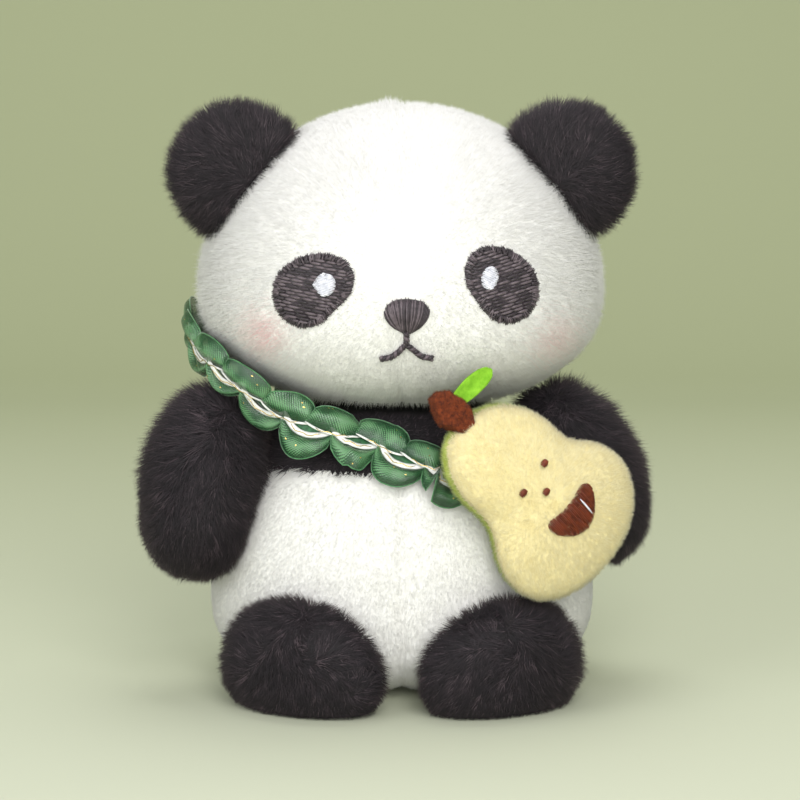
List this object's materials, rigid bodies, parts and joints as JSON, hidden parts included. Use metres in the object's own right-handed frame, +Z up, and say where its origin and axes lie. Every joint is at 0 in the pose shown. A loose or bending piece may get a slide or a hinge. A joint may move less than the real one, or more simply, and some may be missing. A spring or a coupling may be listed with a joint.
{
  "type": "plush panda",
  "caption": "Small standing plush panda with a stitched face, a cross-body sheer ribbon strap and a stuffed pear half that hangs on it.",
  "frame": {"origin": "centre of the flat base panel's underside, on the surface that the toy stands on", "axes": "+Z up, the face looks along -Y, +X to the right of a viewer who faces the toy"},
  "size_m": [0.13, 0.1058, 0.149],
  "materials": {
    "white_plush": "short cut pile, warm white",
    "dark_plush": "long dark pile, brown-black with lighter tips",
    "stuffing": "loose polyester fibre",
    "dark_thread": "dense embroidery thread, slight gloss",
    "white_thread": "dense embroidery thread, slight gloss",
    "pear_yellow_plush": "very short pile, pale yellow",
    "pear_green_plush": "very short pile, yellow green",
    "brown_felt": "felt, red brown",
    "leaf_felt": "felt, lime green",
    "brown_thread": "satin embroidery thread, red brown",
    "green_organza": "sheer ribbon, crisp, slight gloss",
    "strap_cord": "fine twisted cord with a metallic thread"
  },
  "bodies": {
    "torso": {"chest_yoke": "dark_plush", "back_yoke": "dark_plush", "belly_left": "white_plush", "belly_right": "white_plush", "back_left": "white_plush", "back_right": "white_plush", "base_panel": "white_plush", "torso_stuffing": "stuffing", "tail_cover": "white_plush", "tail_stuffing": "stuffing", "strap_ribbon_front": "green_organza", "strap_ribbon_back": "green_organza", "strap_cord": "strap_cord"},
    "head": {"face_left": "white_plush", "face_right": "white_plush", "head_back_left": "white_plush", "head_back_right": "white_plush", "head_stuffing": "stuffing", "ear_left_front": "dark_plush", "ear_left_back": "dark_plush", "ear_left_stuffing": "stuffing", "ear_right_front": "dark_plush", "ear_right_back": "dark_plush", "ear_right_stuffing": "stuffing", "eye_patch_left": "dark_thread", "eye_patch_right": "dark_thread", "eye_highlight_left": "white_thread", "eye_highlight_right": "white_thread", "nose_embroidery": "dark_thread", "mouth_embroidery": "dark_thread"},
    "arm_left": {"arm_left_outer": "dark_plush", "arm_left_inner": "dark_plush", "arm_left_stuffing": "stuffing"},
    "arm_right": {"arm_right_outer": "dark_plush", "arm_right_inner": "dark_plush", "arm_right_stuffing": "stuffing"},
    "foot_left": {"foot_left_upper": "dark_plush", "foot_left_sole": "dark_plush", "foot_left_stuffing": "stuffing"},
    "foot_right": {"foot_right_upper": "dark_plush", "foot_right_sole": "dark_plush", "foot_right_stuffing": "stuffing"},
    "pear": {"pear_front": "pear_yellow_plush", "pear_back": "pear_green_plush", "pear_stuffing": "stuffing", "pear_stem": "brown_felt", "pear_leaf": "leaf_felt", "pear_seeds": "brown_thread", "pear_core": "brown_thread", "pear_tab": "green_organza"}
  },
  "joints": [
    {"name": "head_turn", "type": "hinge", "parent": "torso", "child": "head", "pos_m": [0, 0, 0.071], "axis": [0, 0, 1], "range_deg": [-12, 12], "stiffness_Nm_per_rad": 0.25},
    {"name": "arm_left_lift", "type": "hinge", "parent": "torso", "child": "arm_left", "pos_m": [-0.039, -0.009, 0.066], "axis": [-0.3419, 0.9397, 0], "range_deg": [0, 18], "stiffness_Nm_per_rad": 0.03},
    {"name": "arm_right_lift", "type": "hinge", "parent": "torso", "child": "arm_right", "pos_m": [0.039, -0.002, 0.066], "axis": [-0.07, -0.9975, 0], "range_deg": [0, 18], "stiffness_Nm_per_rad": 0.03},
    {"name": "foot_left_splay", "type": "hinge", "parent": "torso", "child": "foot_left", "pos_m": [-0.0176, -0.0395, 0.01], "axis": [0, 0, -1], "range_deg": [-6, 6], "stiffness_Nm_per_rad": 0.04},
    {"name": "foot_right_splay", "type": "hinge", "parent": "torso", "child": "foot_right", "pos_m": [0.0176, -0.0395, 0.01], "axis": [0, 0, 1], "range_deg": [-6, 6], "stiffness_Nm_per_rad": 0.04},
    {"name": "pear_swing", "type": "hinge", "parent": "torso", "child": "pear", "pos_m": [0.02744, -0.03031, 0.05097], "axis": [0.4118, -0.8831, 0.225], "range_deg": [0, 30]}
  ]
}
